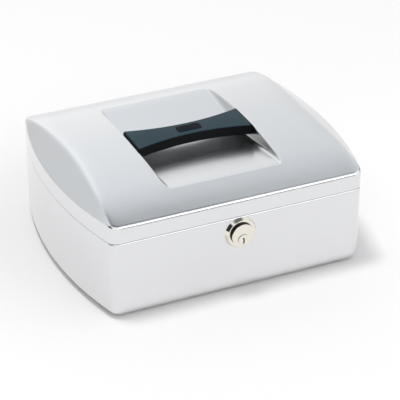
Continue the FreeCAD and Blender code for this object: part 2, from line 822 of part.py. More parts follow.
def lock_cam():
    """Hooked cam: hub, arm and a finger that swings over the striker's ledge."""
    hub = along_y(cam_hub_radius, cam_front, cam_back, plug_z)
    half = cam_arm_width / 2
    middle_radius = (cam_inner_radius + cam_outer_radius) / 2
    arm = block((-half, cam_front, plug_z - middle_radius), (half, cam_back, plug_z))
    start = -math.degrees(math.asin(half / middle_radius))
    middle = (start + cam_finger_angle) / 2
    rim = [Part.makeLine(around_plug(cam_inner_radius, start), around_plug(cam_outer_radius, start)),
           arc(*[around_plug(cam_outer_radius, a) for a in (start, middle, cam_finger_angle)]),
           Part.makeLine(around_plug(cam_outer_radius, cam_finger_angle),
                         around_plug(cam_inner_radius, cam_finger_angle)),
           arc(*[around_plug(cam_inner_radius, a) for a in (cam_finger_angle, middle, start)])]
    finger = prism(Part.Wire(rim), V(0, cam_thickness, 0))
    return joined([hub, arm, finger]).cut([tail(cam_back)])


def cam_screw():
    """Screw that clamps the cam to the plug."""
    head = along_y(cam_screw_head_radius, cam_back, cam_back + cam_screw_head_height, plug_z)
    return joined([head, cam_screw_shank()])


def striker():
    """Bracket welded under the vault: an upright behind the cam, and a ledge under the locked finger."""
    ledge_top = plug_z + math.sqrt(cam_inner_radius ** 2 - ledge_end ** 2) - ledge_drop
    ledge_low = ledge_top - striker_sheet
    hollow = lid_hollow(base_z)
    left = ledge_end - striker_width
    upright_plate = block((left, striker_y, ledge_low), (ledge_end, striker_back, crown_z)).common(hollow)
    ledge = block((ledge_start, cam_front + ledge_setback, ledge_low), (ledge_end, striker_y, ledge_top))
    foot = block((left, striker_y - striker_foot, lid_bottom), (ledge_end, striker_back, crown_z))
    lowered = hollow.copy()
    lowered.translate(V(0, 0, -striker_sheet))
    return joined([upright_plate, ledge, foot.common(hollow).cut(lowered)])


# Coin tray

def tray_bracket(x, side):
    """Angle welded to the front or the back wall, with its ledge under the tray."""
    wall = half_depth - sheet
    legs = []
    for reach_in, drop in ((bracket_sheet, bracket_height), (bracket_reach, bracket_sheet)):
        edges = sorted((side * wall, side * (wall - reach_in)))
        legs.append(block((x - bracket_length / 2, edges[0], tray_bottom - drop),
                          (x + bracket_length / 2, edges[1], tray_bottom)))
    return joined(legs)


def tray_cell(x_low, x_high, y_low, y_high, scoop):
    """Pocket of the tray, kept inside its outer wall; scoop rounds the floor at front and back."""
    floor = tray_bottom + tray_floor
    cell = block((x_low, y_low, floor), (x_high, y_high, tray_top + tray_floor))
    if scoop:
        low = [e for e in edges_at_height(cell, floor) if e.BoundBox.YLength < tolerance]
        cell = cell.makeFillet(scoop, low)
    return cell.common(tub(tray_inset + tray_wall, floor - overrun, tray_top + tray_floor))


def coin_tray():
    """Moulded tray: a row of scooped coin cups at the back, bins at the front, a notch for the lock."""
    span = 2 * (half_width + side_bow - tray_inset)
    inside = half_depth - tray_inset - tray_wall
    half_wall = tray_wall / 2
    row_end = cup_row_front - tray_wall
    cells = []
    for i in range(cup_count):
        left = span * (i / cup_count - 0.5) + half_wall
        right = span * ((i + 1) / cup_count - 0.5) - half_wall
        cells.append(tray_cell(left, right, cup_row_front, inside, cup_scoop_radius))
    for side in (-1, 1):
        ends = sorted((side * (notch_half_width + tray_wall), side * span / 2))
        cells.append(tray_cell(ends[0], ends[1], -inside, row_end, 0))
    cells.append(tray_cell(-notch_half_width, notch_half_width, notch_back + tray_wall, row_end, 0))
    notch = block((-notch_half_width, front_y, tray_bottom - overrun),
                  (notch_half_width, notch_back, tray_top + overrun))
    return tub(tray_inset, tray_bottom, tray_top).cut([notch] + cells)


def nodes():
    """Every piece of the box by name."""
    pieces = {
        "base_shell": base_shell(),
        "rubber_feet": group([rubber_foot(sx * foot_x, sy * foot_y) for sx in (-1, 1) for sy in (-1, 1)]),
        "base_leaf_rivets": group([rivet(x, base_rivet_z) for x in rivet_places()]),
        "hinge_pins": group([hinge_pin(middle) for middle in hinge_sides().values()]),
        "lock_bezel": lock_bezel(),
        "lock_housing": lock_housing(),
        "lock_nut": lock_nut(),
        "driver_pins": group([driver_pin(y) for y in pin_places]),
        "pin_springs": group([pin_spring(y) for y in pin_places]),
        "chamber_cap": cap_seat_box(cap_thickness),
        "tray_brackets": group([tray_bracket(sx * bracket_x, sy) for sx in (-1, 1) for sy in (-1, 1)]),
        "lid_shell": lid_shell(),
        "handle": handle(),
        "handle_plate": handle_plate(),
        "handle_screws": group([handle_screw(*place) for place in screw_places()]),
        "lid_leaf_rivets": group([rivet(x, lid_rivet_z) for x in rivet_places()]),
        "striker": striker(),
        "lock_plug": lock_plug(),
        "key_pins": group([key_pin(y) for y in pin_places]),
        "lock_cam": lock_cam(),
        "cam_screw": cam_screw(),
        "coin_tray": coin_tray(),
    }
    for name, middle in hinge_sides().items():
        pieces["base_leaf_" + name] = base_leaf(middle)
        pieces["lid_leaf_" + name] = lid_leaf(middle)
    return pieces


def main():
    """Write one file per piece."""
    os.makedirs("parts", exist_ok=True)
    for name, shape in nodes().items():
        shape.translate(V(0, box_shift, 0))
        shape.exportStep("parts/" + name + ".step")
        print(name, len(shape.Solids), "valid" if shape.isValid() else "broken", round(shape.Volume, 1))


if __name__ == "__main__":
    main()
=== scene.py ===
"""Looks of a steel cash box with a vaulted lid, a recessed carrying handle, a key lock and a coin tray.

Metres. X runs to the right, Y to the back and Z up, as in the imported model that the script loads.
"""

import functools
import logging
import math
from dataclasses import dataclass
from enum import Enum
from typing import Any, Mapping, Optional, Sequence, Union

import bmesh
import bpy
from mathutils import Euler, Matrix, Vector


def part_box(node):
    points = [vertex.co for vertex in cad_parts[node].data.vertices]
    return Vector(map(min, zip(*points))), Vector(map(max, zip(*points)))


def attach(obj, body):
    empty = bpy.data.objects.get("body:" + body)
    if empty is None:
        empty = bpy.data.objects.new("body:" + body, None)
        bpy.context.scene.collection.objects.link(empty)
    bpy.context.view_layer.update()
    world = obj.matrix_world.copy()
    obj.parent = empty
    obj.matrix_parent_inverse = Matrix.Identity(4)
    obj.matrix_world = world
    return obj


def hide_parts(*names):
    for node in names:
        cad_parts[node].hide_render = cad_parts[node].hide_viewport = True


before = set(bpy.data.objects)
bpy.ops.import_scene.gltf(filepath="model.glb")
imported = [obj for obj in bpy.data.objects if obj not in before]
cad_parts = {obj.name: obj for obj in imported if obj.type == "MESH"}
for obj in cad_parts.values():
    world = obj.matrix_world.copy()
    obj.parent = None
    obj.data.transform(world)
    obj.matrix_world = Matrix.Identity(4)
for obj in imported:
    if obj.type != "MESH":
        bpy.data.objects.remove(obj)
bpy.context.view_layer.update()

MM = 0.001
WELD = 1e-6
CREASE = math.radians(34)
SORT_DIGITS = 4
UP = Vector((0, 0, 1))
BACK = Vector((0, 1, 0))
log = logging.getLogger("cash_box")

Colour = tuple[float, float, float]
Operand = Union["Signal", float, int]


class Body(str, Enum):
    """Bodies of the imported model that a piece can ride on."""

    BASE = "base"
    LID = "lid"
    PLUG = "key_plug"


class Slot(str, Enum):
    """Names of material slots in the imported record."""

    RUBBER = "black_rubber"
    ZINC = "zinc_steel"
    BRASS = "brass"


class Grain(Enum):
    """Surface textures that a plastic moulding gets from its tool."""

    SPARK = "eroded"
    LEATHER = "pebbled"


class Signal:
    """An output socket of a node tree that takes part in Python expressions."""

    def __init__(self, board: "Board", socket: bpy.types.NodeSocket) -> None:
        """Keeps the tree and the socket."""
        self.board = board
        self.socket = socket

    def out(self, name: str) -> "Signal":
        """Another output of the same node."""
        return Signal(self.board, pick(self.socket.node.outputs, name))

    def math(self, operation: str, *others: Operand) -> "Signal":
        """This signal and others put through a Math node."""
        return self.board.math(operation, self, *others)

    def __add__(self, other: Operand) -> "Signal":
        """Sum."""
        return self.math("ADD", other)

    def __radd__(self, other: Operand) -> "Signal":
        """Sum, with the number in front."""
        return self.board.math("ADD", other, self)

    def __sub__(self, other: Operand) -> "Signal":
        """Difference."""
        return self.math("SUBTRACT", other)

    def __rsub__(self, other: Operand) -> "Signal":
        """Difference, with the number in front."""
        return self.board.math("SUBTRACT", other, self)

    def __mul__(self, other: Operand) -> "Signal":
        """Product."""
        return self.math("MULTIPLY", other)

    def __rmul__(self, other: Operand) -> "Signal":
        """Product, with the number in front."""
        return self.board.math("MULTIPLY", other, self)

    def __neg__(self) -> "Signal":
        """The same with its sign turned."""
        return self.math("MULTIPLY", -1.0)

    def smooth(self, low: float, high: float) -> "Signal":
        """A soft step that rises from 0 at low to 1 at high.

        Args:
            low: Value where the step starts.
            high: Value where the step ends.

        Returns:
            The step, between 0 and 1.
        """
        return self.board.node("ShaderNodeMapRange", {"interpolation_type": "SMOOTHSTEP"},
                               {"Value": self, "From Min": low, "From Max": high})


def pick(sockets: Any, name: Union[str, int]) -> bpy.types.NodeSocket:
    """A socket by its place, or the usable one with a name.

    Args:
        sockets: Inputs or outputs of a node.
        name: Place in the list, or name.

    Returns:
        The socket.
    """
    if isinstance(name, int):
        return sockets[name]
    return next(s for s in sockets if s.name == name and s.enabled)


class Board:
    """A node tree in the making, for a shader or for geometry."""

    def __init__(self, tree: bpy.types.NodeTree) -> None:
        """Empties the tree and keeps it."""
        tree.nodes.clear()
        self.tree = tree

    def node(self, kind: str, settings: Optional[Mapping[str, Any]] = None,
             sockets: Optional[Mapping[Union[str, int], Any]] = None) -> Signal:
        """Adds a node, sets it up, then fills its sockets.

        Args:
            kind: Type of the node.
            settings: Properties of the node; stops are a ramp's places and greys, items a switch's count.
            sockets: Values or signals, by the socket's name or place.

        Returns:
            The node's first output, or for a node without one a signal that holds its first input.
        """
        made = self.tree.nodes.new(kind)
        for key, value in (settings or {}).items():
            if key == "stops":
                self.set_stops(made.color_ramp.elements, value)
            elif key == "items":
                for _ in range(value - len(made.index_switch_items)):
                    made.index_switch_items.new()
            else:
                setattr(made, key, value)
        for key, value in (sockets or {}).items():
            socket = pick(made.inputs, key)
            if isinstance(value, Signal):
                self.tree.links.new(value.socket, socket)
            elif socket.type == "RGBA":
                socket.default_value = (*value, 1.0)
            else:
                socket.default_value = value
        usable = [s for s in made.outputs if s.enabled]
        return Signal(self, usable[0] if usable else made.inputs[0])

    @staticmethod
    def set_stops(elements: Any, stops: Sequence[tuple[float, float]]) -> None:
        """Fills a ramp.

        Args:
            elements: The ramp's elements.
            stops: Place and grey of each stop, in rising order.
        """
        for _ in range(len(stops) - len(elements)):
            elements.new(1.0)
        for element, (place, grey) in zip(elements, stops):
            element.position = place
            element.color = (grey, grey, grey, 1.0)

    def math(self, operation: str, *values: Operand) -> Signal:
        """A Math node on values and signals."""
        return self.node("ShaderNodeMath", {"operation": operation}, dict(enumerate(values)))

    def axes(self, place: Signal) -> Signal:
        """The X, Y and Z of a vector, as outputs of one node."""
        return self.node("ShaderNodeSeparateXYZ", {}, {"Vector": place})

    def mix(self, factor: Operand, first: Any, second: Any) -> Signal:
        """A colour between two colours."""
        return self.node("ShaderNodeMix", {"data_type": "RGBA"},
                         {"Factor": factor, "A": first, "B": second})

    def noise(self, place: Signal, size: float, detail: float = 2.0) -> Signal:
        """Cloudy noise with features of a given size."""
        return self.node("ShaderNodeTexNoise", {}, {"Vector": place, "Scale": 1 / size, "Detail": detail})

    def stretched(self, place: Signal, scale: Colour) -> Signal:
        """Coordinates that are scaled along each axis."""
        return self.node("ShaderNodeMapping", {}, {"Vector": place, "Scale": scale})

    def cells(self, place: Signal, size: float) -> Signal:
        """A random value for each cell of a given size."""
        found = self.node("ShaderNodeTexVoronoi", {}, {"Vector": place, "Scale": 1 / size})
        return self.node("ShaderNodeSeparateColor", {}, {"Color": found.out("Color")})

    def bump(self, height: Signal, depth: float) -> Signal:
        """A normal that is tilted by a height of a given depth."""
        return self.node("ShaderNodeBump", {}, {"Height": height, "Distance": depth, "Strength": 1.0})


def toned(colour: Colour, factor: float) -> Colour:
    """A colour made lighter or darker."""
    return tuple(min(1.0, c * factor) for c in colour)


@dataclass(frozen=True)
class Finish:
    """What every finish of the box has: a name, a colour between two tones of it, and a roughness.

    In all finishes a haze is what a feature of the surface adds to the roughness.
    """

    name: str
    colour: Colour
    roughness: float
    dark: float = 0.8
    light: float = 1.2

    def tones(self, board: Board, share: Signal) -> Signal:
        """The colour, from its dark tone at 0 to its light tone at 1."""
        return board.mix(share, toned(self.colour, self.dark), toned(self.colour, self.light))

    def sockets(self, board: Board, place: Signal) -> dict[str, Any]:
        """Values and signals for the shader.

        Args:
            board: The material's tree.
            place: Object coordinates.

        Returns:
            The shader's sockets, by name.
        """
        raise NotImplementedError


@functools.cache
def material(finish: Finish) -> bpy.types.Material:
    """The Blender material of a finish, made once.

    Args:
        finish: The finish.

    Returns:
        The material.
    """
    made = bpy.data.materials.new(finish.name)
    made.use_nodes = True
    board = Board(made.node_tree)
    place = board.node("ShaderNodeTexCoord").out("Object")
    shader = board.node("ShaderNodeBsdfPrincipled", {}, finish.sockets(board, place))
    board.node("ShaderNodeOutputMaterial", {}, {"Surface": shader})
    return made


@dataclass(frozen=True)
class Lacquer(Finish):
    """Sprayed silver lacquer: metal flakes under a clear coat with a faint orange peel."""

    dark: float = 0.95
    light: float = 1.05
    flake: float = 0.14 * MM
    flake_share: float = 0.6
    flake_haze: float = 0.03
    cloud: float = 55 * MM
    cloud_haze: float = 0.06
    peel: float = 1.7 * MM
    peel_depth: float = 0.004 * MM
    coat: float = 0.25
    coat_roughness: float = 0.12

    def sockets(self, board: Board, place: Signal) -> dict[str, Any]:
        """Flakes vary the colour, clouds the gloss, and the peel tilts the surface.

        Args:
            board: The material's tree.
            place: Object coordinates.

        Returns:
            The shader's sockets, by name.
        """
        flake = board.cells(place, self.flake)
        cloud = board.noise(place, self.cloud)
        peel = board.noise(place, self.peel, detail=1.0)
        tone = self.flake_share * flake + (1 - self.flake_share) * cloud
        smoothest = self.roughness - self.cloud_haze / 2
        return {
            "Base Color": self.tones(board, tone),
            "Roughness": smoothest + self.cloud_haze * cloud + self.flake_haze * flake,
            "Metallic": 1.0,
            "Coat Weight": self.coat,
            "Coat Roughness": self.coat_roughness,
            "Normal": board.bump(peel, self.peel_depth),
        }


@dataclass(frozen=True)
class Moulding(Finish):
    """Moulded plastic with the texture of its tool and slight handling marks."""

    grain: Grain = Grain.SPARK
    pitch: float = 0.35 * MM
    depth: float = 0.02 * MM
    pebble: float = 0.4
    grain_haze: float = 0.05
    smear: float = 24 * MM
    smear_from: float = 0.35
    smear_to: float = 0.7
    smear_haze: float = 0.08
    gloss: float = 0.5

    def texture(self, board: Board, place: Signal) -> Signal:
        """Height of the moulded texture.

        Args:
            board: The material's tree.
            place: Object coordinates.

        Returns:
            The height, between 0 and 1.
        """
        if self.grain is Grain.LEATHER:
            cells = board.node("ShaderNodeTexVoronoi", {"feature": "SMOOTH_F1"},
                               {"Vector": place, "Scale": 1 / self.pitch, "Smoothness": self.pebble})
            return 1 - cells
        return board.noise(place, self.pitch, detail=3.0)

    def sockets(self, board: Board, place: Signal) -> dict[str, Any]:
        """The grain shades and tilts the surface, and smears change its gloss.

        Args:
            board: The material's tree.
            place: Object coordinates.

        Returns:
            The shader's sockets, by name.
        """
        height = self.texture(board, place)
        smear = board.noise(place, self.smear, detail=4.0).smooth(self.smear_from, self.smear_to)
        return {
            "Base Color": self.tones(board, height),
            "Roughness": self.roughness + self.smear_haze * smear + self.grain_haze * height,
            "Specular IOR Level": self.gloss,
            "Normal": board.bump(height, self.depth),
        }


@dataclass(frozen=True)
class SheenTopMoulding(Moulding):
    """Moulded plastic with a painted sheen: its upper face is painted paler than the rest, between two
    heights over the floor, to stand for the sky's reflection on the top.
    """

    # colour and heights of the painted sheen on the top face
    sheen_colour: Colour = (0.023, 0.044, 0.055)
    sheen_from: float = 99.1 * MM
    sheen_to: float = 99.5 * MM

    def sockets(self, board: Board, place: Signal) -> dict[str, Any]:
        """The moulding's own sockets, with a painted sheen: the colour turns paler with the height.

        Args:
            board: The material's tree.
            place: Object coordinates.

        Returns:
            The shader's sockets, by name.
        """
        found = super().sockets(board, place)
        # painted sheen: the top face is painted paler where the sky's reflection would light it
        lift = board.axes(place).out("Z").smooth(self.sheen_from, self.sheen_to)
        return {**found, "Base Color": board.mix(lift, found["Base Color"], self.sheen_colour)}


@dataclass(frozen=True)
class Rubber(Finish):
    """Matt rubber with fine specks of chalk."""

    dark: float = 1.0
    light: float = 2.2
    speck: float = 0.5 * MM
    tooth: float = 0.03 * MM
    dust_from: float = 0.58
    dust_to: float = 0.75
    dust_haze: float = 0.15
    gloss: float = 0.3

    def sockets(self, board: Board, place: Signal) -> dict[str, Any]:
        """Specks lighten the rubber, and a fine tooth roughens it.

        Args:
            board: The material's tree.
            place: Object coordinates.

        Returns:
            The shader's sockets, by name.
        """
        speck = board.noise(place, self.speck, detail=4.0)
        dust = speck.smooth(self.dust_from, self.dust_to)
        return {
            "Base Color": self.tones(board, dust),
            "Roughness": self.roughness + self.dust_haze * dust,
            "Specular IOR Level": self.gloss,
            "Normal": board.bump(speck, self.tooth),
        }


@dataclass(frozen=True)
class Plated(Finish):
    """Zinc plated sheet steel: rolling lines under a soft spangle."""

    dark: float = 0.82
    light: float = 1.12
    spangle: float = 2.6 * MM
    spangle_share: float = 0.45
    spangle_haze: float = 0.12
    roll: Colour = (60.0, 2600.0, 2600.0)
    roll_depth: float = 0.006 * MM
    roll_haze: float = 0.1

    def sockets(self, board: Board, place: Signal) -> dict[str, Any]:
        """The spangle varies colour and gloss, and the rolling lines tilt the surface.

        Args:
            board: The material's tree.
            place: Object coordinates.

        Returns:
            The shader's sockets, by name.
        """
        spangle = board.cells(place, self.spangle)
        lines = board.noise(board.stretched(place, self.roll), 1.0, detail=3.0)
        tone = self.spangle_share * spangle + (1 - self.spangle_share) * lines
        return {
            "Base Color": self.tones(board, tone),
            "Roughness": self.roughness + self.spangle_haze * spangle + self.roll_haze * lines,
            "Metallic": 1.0,
            "Normal": board.bump(lines, self.roll_depth),
        }


@dataclass(frozen=True)
class Turned(Finish):
    """Bright turned metal: fine rings round an axis along Y, and recessed walls that may get painted shade.

    The painted shade starts and ends at two places along Y, which by default lie far behind the box.
    """

    dark: float = 0.94
    light: float = 1.04
    axis_x: float = 0.0
    axis_z: float = 0.0
    pitch: float = 0.22 * MM
    depth: float = 0.0012 * MM
    wear: float = 3 * MM
    wear_shift: float = 2.0
    wear_haze: float = 0.04
    # colour, depths along Y and added roughness of the painted shade in recesses
    shade_tone: Colour = (0.012, 0.011, 0.01)
    shade_from: float = 1.0
    shade_to: float = 2.0
    shade_haze: float = 0.25

    def sockets(self, board: Board, place: Signal) -> dict[str, Any]:
        """Rings by the distance from the axis, with painted shade between two depths along it.

        Args:
            board: The material's tree.
            place: Object coordinates.

        Returns:
            The shader's sockets, by name.
        """
        axes = board.axes(place)
        across = axes.out("X") - self.axis_x
        up = axes.out("Z") - self.axis_z
        radius = (across * across + up * up).math("SQRT")
        wear = board.noise(place, self.wear, detail=3.0)
        rings = (radius * (2 * math.pi / self.pitch) + self.wear_shift * wear).math("SINE")
        # painted shade: darkens the walls behind the front, where shade falls in the recess
        painted_shade_mask = axes.out("Y").smooth(self.shade_from, self.shade_to)
        return {
            "Base Color": board.mix(painted_shade_mask, self.tones(board, wear), self.shade_tone),
            "Roughness": self.roughness + self.wear_haze * wear + self.shade_haze * painted_shade_mask,
            "Metallic": 1.0,
            "Normal": board.bump(rings, self.depth),
        }


SILVER = Lacquer("silver_lacquer", (0.77, 0.776, 0.785), 0.22)
# the grip's top face gets a painted sheen, paler than the rest
GRIP = SheenTopMoulding("grip_plastic", (0.0008, 0.0012, 0.0026), 0.36, gloss=0.1)
PLATE = Moulding("plate_plastic", (0.0025, 0.0045, 0.009), 0.34, pitch=0.25 * MM, depth=0.006 * MM,
                 gloss=0.045)
TRAY = Moulding("tray_plastic", (0.028, 0.029, 0.031), 0.42, grain=Grain.LEATHER, pitch=0.9 * MM,
                depth=0.05 * MM)
RUBBER = Rubber("black_rubber", (0.02, 0.02, 0.02), 0.78)
ZINC = Plated("zinc_steel", (0.6, 0.61, 0.62), 0.3)
BRASS = Turned("brass", (0.75, 0.55, 0.26), 0.22)


@dataclass(frozen=True)
class Seat:
    """A place for one of many like pieces, and the way that it points."""

    place: Vector
    axis: Vector


@dataclass(frozen=True)
class Island:
    """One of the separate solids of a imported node."""

    points: tuple[Vector, ...]

    @property
    def low(self) -> Vector:
        """Lowest corner."""
        return Vector(map(min, zip(*self.points)))

    @property
    def high(self) -> Vector:
        """Highest corner."""
        return Vector(map(max, zip(*self.points)))

    @property
    def middle(self) -> Vector:
        """Middle of the box round the solid."""
        return (self.low + self.high) / 2

    @property
    def size(self) -> Vector:
        """Sides of the box round the solid."""
        return self.high - self.low

    @property
    def mean(self) -> Vector:
        """Mean of the points, which lies on the axis of a turned solid."""
        return sum(self.points, Vector()) / len(self.points)

    def reach(self, axis: Vector) -> float:
        """How far the solid goes past its mean along an axis."""
        return max((p - self.mean).dot(axis) for p in self.points)

    def seat(self, lift: float = 0.0) -> Seat:
        """An upright place over the middle of the solid's underside."""
        return Seat(Vector((self.middle.x, self.middle.y, self.low.z + lift)), UP)


def islands(node: str) -> list[Island]:
    """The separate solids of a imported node, sorted by place.

    Args:
        node: Name of the node.

    Returns:
        The solids, from left to right, front to back and low to high.
    """
    solid = bmesh.new()
    solid.from_mesh(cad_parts[node].data)
    bmesh.ops.remove_doubles(solid, verts=solid.verts, dist=WELD)
    left = set(solid.verts)
    found = []
    while left:
        wave = [left.pop()]
        group = []
        while wave:
            vertex = wave.pop()
            group.append(vertex.co.copy())
            for edge in vertex.link_edges:
                other = edge.other_vert(vertex)
                if other in left:
                    left.remove(other)
                    wave.append(other)
        found.append(Island(tuple(group)))
    solid.free()
    return sorted(found, key=lambda island: tuple(round(c, SORT_DIGITS) for c in island.middle))


def middle_of(node: str) -> Vector:
    """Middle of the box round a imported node."""
    low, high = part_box(node)
    return (low + high) / 2


class Pattern:
    """A Geometry Nodes tree that sets one small shape on every seat of a piece."""

    SEATS = "Seats"
    FINISH = "Finish"
    AXIS = "axis"

    def __init__(self, name: str, sizes: Mapping[str, Union[float, int]]) -> None:
        """Makes the tree's named inputs.

        Args:
            name: Name of the tree.
            sizes: Values of the tree's inputs, by name; whole numbers are counts.
        """
        tree = bpy.data.node_groups.new(name, "GeometryNodeTree")
        self.board = Board(tree)
        self.sizes = dict(sizes)
        tree.interface.new_socket(self.SEATS, in_out="INPUT", socket_type="NodeSocketGeometry")
        for key, value in self.sizes.items():
            kind = "NodeSocketInt" if isinstance(value, int) else "NodeSocketFloat"
            tree.interface.new_socket(key, in_out="INPUT", socket_type=kind)
        tree.interface.new_socket(self.FINISH, in_out="INPUT", socket_type="NodeSocketMaterial")
        tree.interface.new_socket("Piece", in_out="OUTPUT", socket_type="NodeSocketGeometry")
        self.source = self.board.node("NodeGroupInput")

    def size(self, name: str) -> Signal:
        """One of the tree's inputs."""
        return self.source.out(name)

    def lathe(self, profile: Sequence[tuple[Operand, Operand]], facets: Signal) -> Signal:
        """A closed shape turned round Z.

        Args:
            profile: Radius and height of each row, upwards along the outside, from pole to pole.
            facets: Number of faces round the axis.

        Returns:
            The turned mesh.
        """
        board = self.board
        grid = board.node("GeometryNodeMeshGrid", {}, {
            "Size X": 1.0, "Size Y": 1.0, "Vertices X": facets + 1, "Vertices Y": len(profile)})
        axes = board.axes(board.node("GeometryNodeInputPosition"))
        turn = (axes.out("X") + 0.5) * (2 * math.pi)
        row = board.node("FunctionNodeFloatToInt", {"rounding_mode": "ROUND"},
                         {"Float": (axes.out("Y") + 0.5) * (len(profile) - 1)})
        radius, height = (self.row_value(row, values) for values in zip(*profile))
        spot = board.node("ShaderNodeCombineXYZ", {}, {
            "X": radius * turn.math("COSINE"), "Y": radius * turn.math("SINE"), "Z": height})
        turned = board.node("GeometryNodeSetPosition", {}, {"Geometry": grid, "Position": spot})
        return board.node("GeometryNodeMergeByDistance", {}, {"Geometry": turned, "Distance": WELD})

    def row_value(self, row: Signal, values: Sequence[Operand]) -> Signal:
        """The value that belongs to a row."""
        settings = {"data_type": "FLOAT", "items": len(values)}
        return self.board.node("GeometryNodeIndexSwitch", settings, dict(enumerate((row, *values))))

    def close(self, shape: Signal) -> None:
        """Sets the shape on the seats and ends the tree.

        Args:
            shape: Mesh of one piece, which points along Z.
        """
        board = self.board
        axis = board.node("GeometryNodeInputNamedAttribute", {"data_type": "FLOAT_VECTOR"},
                          {"Name": self.AXIS})
        turn = board.node("FunctionNodeAlignRotationToVector", {"axis": "Z"}, {"Vector": axis})
        placed = board.node("GeometryNodeInstanceOnPoints", {}, {
            "Points": self.size(self.SEATS), "Instance": shape, "Rotation": turn})
        real = board.node("GeometryNodeRealizeInstances", {}, {"Geometry": placed})
        done = board.node("GeometryNodeSetMaterial", {},
                          {"Geometry": real, "Material": self.size(self.FINISH)})
        board.node("NodeGroupOutput", {}, {"Piece": done})

    def grow(self, name: str, seats: Sequence[Seat], finish: Finish) -> bpy.types.Object:
        """A plain mesh piece with the shape on every seat.

        Args:
            name: Name of the piece.
            seats: Where the shapes go.
            finish: What they are made of.

        Returns:
            The piece, at the origin.
        """
        points = bpy.data.meshes.new(name)
        points.from_pydata([seat.place for seat in seats], [], [])
        axis = points.attributes.new(self.AXIS, "FLOAT_VECTOR", "POINT")
        for value, seat in zip(axis.data, seats):
            value.vector = seat.axis
        piece = bpy.data.objects.new(name, points)
        bpy.context.scene.collection.objects.link(piece)
        modifier = piece.modifiers.new(name, "NODES")
        modifier.node_group = self.board.tree
        values = {**self.sizes, self.FINISH: material(finish)}
        for item in self.board.tree.interface.items_tree:
            if item.in_out == "INPUT" and item.name in values:
                modifier[item.identifier] = values[item.name]
        graph = bpy.context.evaluated_depsgraph_get()
        mesh = bpy.data.meshes.new_from_object(piece.evaluated_get(graph), depsgraph=graph)
        piece.modifiers.remove(modifier)
        piece.data = mesh
        mesh.name = name
        mesh.shade_smooth()
        mesh.set_sharp_from_angle(angle=CREASE)
        return piece


def dome(radius: Operand, low: Operand, height: Operand, rows: int) -> list[tuple[Operand, Operand]]:
    """Rows of a dome, from its rim up to its pole.

    Args:
        radius: Radius of the rim.
        low: Height of the rim.
        height: Rise from the rim to the pole.
        rows: Number of steps.

    Returns:
        Radius and height of each row.
    """
    angles = [math.pi / 2 * i / rows for i in range(rows + 1)]
    found = [(radius * math.cos(a), low + height * math.sin(a)) for a in angles[:-1]]
    return found + [(0.0, low + height)]


def dress(finish: Finish, *nodes: str) -> None:
    """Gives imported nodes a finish.

    Args:
        finish: The finish.
        nodes: Names of the nodes.
    """
    for node in nodes:
        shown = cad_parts[node]
        for slot in shown.material_slots:
            slot.material = material(finish)
        log.info("dressed %s in %s", node, finish.name)


def stand_in(piece: bpy.types.Object, node: str, body: Body) -> None:
    """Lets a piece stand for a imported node.

    Args:
        piece: The new piece.
        node: Node that it replaces.
        body: Body that it moves with.
    """
    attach(piece, body.value)
    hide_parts(node)
    log.info("piece %s stands for %s: %d faces", piece.name, node, len(piece.data.polygons))


@dataclass
class Case:
    """The tub: its shell, its brackets for the tray and its rubber feet.

    A dimple's flat and its bend are shares of its radius and depth.
    """

    foot_edge: float = 0.5 * MM
    edge_turns: tuple[float, ...] = (0.0, 0.4, 0.8, 1.2, math.pi / 2)
    dimple_radius: float = 3.2 * MM
    dimple_depth: float = 0.5 * MM
    dimple_flat: float = 0.75
    dimple_bend: tuple[float, float] = (0.92, 0.7)
    facets: int = 48

    def foot(self, radius: float, height: float) -> Pattern:
        """Tree of a foot with a rounded rim and a dimple.

        Args:
            radius: Radius of the foot.
            height: Height of the foot.

        Returns:
            The closed tree.
        """
        pattern = Pattern("rubber_foot", {
            "Radius": radius, "Height": height, "Edge": self.foot_edge, "Dimple Radius": self.dimple_radius,
            "Dimple Depth": self.dimple_depth, "Facets": self.facets})
        outer, edge, high = (pattern.size(n) for n in ("Radius", "Edge", "Height"))
        deep, inner = pattern.size("Dimple Depth"), pattern.size("Dimple Radius")
        flat = outer - edge
        rim = [(flat + edge * math.sin(a), edge - edge * math.cos(a)) for a in self.edge_turns]
        bend, bend_depth = self.dimple_bend
        profile = [(0.0, deep), (inner * self.dimple_flat, deep), (inner * bend, deep * bend_depth),
                   (inner, 0.0), *rim, (outer, high), (0.0, high)]
        pattern.close(pattern.lathe(profile, pattern.size("Facets")))
        return pattern

    def build(self) -> None:
        """Makes the feet and dresses the shell and the brackets."""
        found = islands("rubber_feet")
        size = found[0].size
        seats = [island.seat() for island in found]
        feet = self.foot(size.x / 2, size.z).grow("moulded_feet", seats, RUBBER)
        stand_in(feet, "rubber_feet", Body.BASE)
        dress(SILVER, "base_shell")
        dress(ZINC, "tray_brackets")


@dataclass
class Lid:
    """The pressed lid and the striker under it."""

    def build(self) -> None:
        """Dresses the lid's nodes."""
        dress(SILVER, "lid_shell")
        dress(ZINC, "striker")


